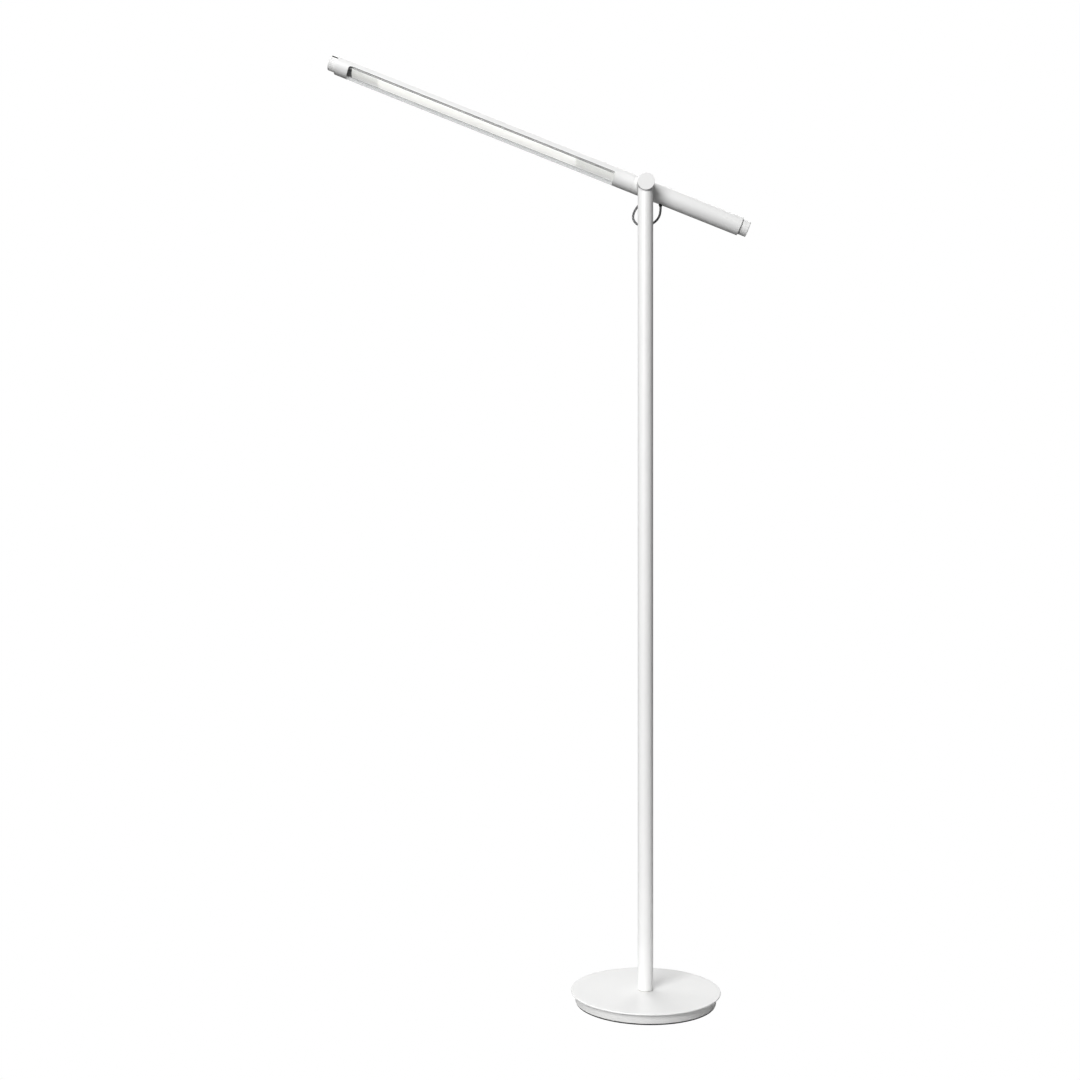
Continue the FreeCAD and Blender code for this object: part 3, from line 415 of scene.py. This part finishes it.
def lens_glow(nodes, links):
    """Strength of the lens's glow: on its face only, and less of it beyond the emitters."""
    where = nodes.new("ShaderNodeTexCoord")
    split = nodes.new("ShaderNodeSeparateXYZ")
    links.new(where.outputs["Object"], split.inputs["Vector"])
    lit_low, lit_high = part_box("led_emitters")
    rise = ramp_between(nodes, links, split.outputs["X"], lit_low.x - LIT_FADE, lit_low.x + LIT_FADE)
    fall = ramp_between(nodes, links, split.outputs["X"], lit_high.x + LIT_FADE, lit_high.x - LIT_FADE)
    reach = spread(nodes, links, times(nodes, links, rise, fall), LIT_LEAK, 1.0)
    height = nodes.new("ShaderNodeVectorMath")
    height.operation = "DOT_PRODUCT"
    height.inputs[1].default_value = HEAD_UP
    links.new(where.outputs["Object"], height.inputs[0])
    edge = PIVOT.dot(HEAD_UP) + LENS_EDGE
    face = ramp_between(nodes, links, height.outputs["Value"], edge + FACE_ABOVE, edge - FACE_BELOW)
    return times(nodes, links, times(nodes, links, reach, face), LIT_GLOW)


def frosted_lens(name):
    """Frosted bar whose face glows by itself."""
    material, shader, nodes, links = new_material(name)
    frost = noise(nodes, links, PEEL_CELLS, 3.0)
    links.new(blend_colours(nodes, links, frost.outputs["Fac"], LENS_WHITE_LOW, LENS_WHITE),
              shader.inputs["Base Color"])
    links.new(spread(nodes, links, frost.outputs["Fac"], 0.30, 0.42), shader.inputs["Roughness"])
    links.new(bump(nodes, links, frost.outputs["Fac"], GRAIN_DEPTH), shader.inputs["Normal"])
    shader.inputs["Emission Color"].default_value = LAMP_COLOUR
    links.new(lens_glow(nodes, links), shader.inputs["Emission Strength"])
    return material


def spun_coat(name, white):
    """Powder coat over a plate turned on a lathe, which draws its gloss out along the radii."""
    material = powder_coat(name, white)
    nodes, links = material.node_tree.nodes, material.node_tree.links
    shader = nodes["Principled BSDF"]
    shader.inputs["Anisotropic"].default_value = SPUN_PULL
    grain = nodes.new("ShaderNodeTangent")
    grain.direction_type = "RADIAL"
    grain.axis = "Z"
    links.new(grain.outputs["Tangent"], shader.inputs["Tangent"])
    return material


def braid_yarn(name, colour):
    """Matt yarn with fine fibres along it."""
    material, shader, nodes, links = new_material(name)
    fibre = noise(nodes, links, FIBRE_CELLS)
    tone = blend_colours(nodes, links, fibre.outputs["Fac"], dimmed(colour, 0.6), colour)
    links.new(tone, shader.inputs["Base Color"])
    links.new(spread(nodes, links, fibre.outputs["Fac"], 0.6, 0.85), shader.inputs["Roughness"])
    links.new(bump(nodes, links, fibre.outputs["Fac"], PEEL_DEPTH), shader.inputs["Normal"])
    shader.inputs["Sheen Weight"].default_value = 0.3
    return material


def make_materials():
    """The materials of the record's slots, by name."""
    materials = {
        "white_paint": powder_coat("white_paint", WHITE),
        "white_knob": powder_coat("white_knob", WHITE),
        "clear_acrylic": clear_acrylic("clear_acrylic"),
        "frosted_lens": frosted_lens("frosted_lens"),
        "braided_cord": braid_yarn("braided_cord", YARN_DARK),
    }
    for name, finish in PLAIN_FINISHES.items():
        materials[name] = plain_material(name, *finish)
    return materials


def dress(piece, *materials):
    piece.data.materials.clear()
    for material in materials:
        piece.data.materials.append(material)


def dress_all():
    """Every CAD node takes the material of its slot; three nodes and the cord have their own."""
    materials = make_materials()
    for row in frame["record"]["subparts"]:
        dress(NODES[row["node"]], materials[row["material_slot"]])
    # the base plate takes a slightly darker white: painted shade on its top
    dress(NODES["base_plate"], spun_coat("spun_white_painted_shade", SPUN_SHADED_WHITE))
    # the skirt takes a darker white: painted shade under the plate's lip
    dress(NODES["base_weight"], powder_coat("cast_white_painted_shade", CAST_SHADED_WHITE))
    # the rails take a dark grey: painted shade along the window's lower edge
    dress(NODES["lens_rails"], plain_material("rail_painted_shade", RAIL_SHADE_GREY, RAIL_ROUGHNESS))
    for tone in (materials["braided_cord"], braid_yarn("pale_yarn", YARN_PALE)):
        CORD.data.materials.append(tone)


dress_all()


# ---- studio ---------------------------------------------------------------------------
FLOOR_HALF = 60.0
CARD_GREY = 0.60        # bounce of the floor round the base
CARD_CENTRE = (0.16, -0.02, 0.0)
CARD_REACH = (0.22, 0.60)   # radius where it starts to fade, and where it has faded
FLOOR_GREY = 0.06       # bounce of the floor beyond
DOME_GREY = 0.217       # what the room throws at the lamp
STUDIO_AIM = Vector((-0.05, 0.0, 0.75))
SOFTBOX_DISTANCE = 8.0
SOFTBOXES = {           # azimuth from the front towards +X, elevation, width, height, watts
    "front": (-28, 30, 4.0, 4.0, 614),
    "front_low": (-38, 8, 4.8, 4.0, 105),
    "back": (180, 45, 6.0, 4.0, 240),
    "back_left": (-140, 50, 6.0, 6.0, 262),
}


def seen_straight(nodes, links):
    """1 for what the camera sees by itself or through clear pieces, 0 for what lights the lamp."""
    path = nodes.new("ShaderNodeLightPath")
    untouched = nodes.new("ShaderNodeMath")
    untouched.operation = "LESS_THAN"
    untouched.inputs[1].default_value = 0.5
    links.new(path.outputs["Diffuse Depth"], untouched.inputs[0])
    through = times(nodes, links, path.outputs["Is Transmission Ray"], untouched.outputs["Value"])
    either = nodes.new("ShaderNodeMath")
    either.operation = "MAXIMUM"
    links.new(path.outputs["Is Camera Ray"], either.inputs[0])
    links.new(through, either.inputs[1])
    return either.outputs["Value"]


def make_floor():
    """Pale sweep that reads as white paper, so that no horizon shows."""
    half = FLOOR_HALF
    corners = [(-half, -half, 0), (half, -half, 0), (half, half, 0), (-half, half, 0)]
    floor = mesh_object("floor", corners, [(0, 1, 2, 3)])
    material, shader, nodes, links = new_material("floor_white")
    where = nodes.new("ShaderNodeTexCoord")
    radius = nodes.new("ShaderNodeVectorMath")
    radius.operation = "DISTANCE"
    radius.inputs[1].default_value = CARD_CENTRE
    links.new(where.outputs["Object"], radius.inputs[0])
    tone = nodes.new("ShaderNodeMapRange")
    tone.inputs["From Min"].default_value, tone.inputs["From Max"].default_value = CARD_REACH
    tone.inputs["To Min"].default_value = CARD_GREY
    tone.inputs["To Max"].default_value = FLOOR_GREY
    links.new(radius.outputs["Value"], tone.inputs["Value"])
    links.new(tone.outputs["Result"], shader.inputs["Base Color"])
    shader.inputs["Roughness"].default_value = 0.9
    paper = nodes.new("ShaderNodeEmission")
    mix = nodes.new("ShaderNodeMixShader")
    links.new(seen_straight(nodes, links), mix.inputs["Fac"])
    links.new(shader.outputs["BSDF"], mix.inputs[1])
    links.new(paper.outputs["Emission"], mix.inputs[2])
    links.new(mix.outputs["Shader"], nodes["Material Output"].inputs["Surface"])
    floor.data.materials.append(material)


def softbox(name, azimuth, elevation, width, height, watts):
    """Rectangular light on a sphere round the lamp, turned to face it."""
    turn, rise = math.radians(azimuth), math.radians(elevation)
    outward = Vector((math.sin(turn) * math.cos(rise), -math.cos(turn) * math.cos(rise), math.sin(rise)))
    data = bpy.data.lights.new(name, "AREA")
    data.shape = "RECTANGLE"
    data.size = width
    data.size_y = height
    data.energy = watts
    light = bpy.data.objects.new(name, data)
    light.location = STUDIO_AIM + outward * SOFTBOX_DISTANCE
    light.rotation_euler = outward.to_track_quat("Z", "Y").to_euler()
    bpy.context.scene.collection.objects.link(light)


def make_world():
    world = bpy.data.worlds.new("studio")
    bpy.context.scene.world = world
    world.use_nodes = True
    nodes, links = world.node_tree.nodes, world.node_tree.links
    mix = nodes.new("ShaderNodeMix")
    mix.data_type = "RGBA"
    mix.inputs["A"].default_value = (DOME_GREY, DOME_GREY, DOME_GREY, 1.0)
    mix.inputs["B"].default_value = (1.0, 1.0, 1.0, 1.0)
    links.new(seen_straight(nodes, links), mix.inputs["Factor"])
    links.new(mix.outputs["Result"], nodes["Background"].inputs["Color"])


def make_studio():
    bpy.context.scene.view_settings.view_transform = "Standard"
    make_floor()
    make_world()
    for name, setting in SOFTBOXES.items():
        softbox(name, *setting)


make_studio()
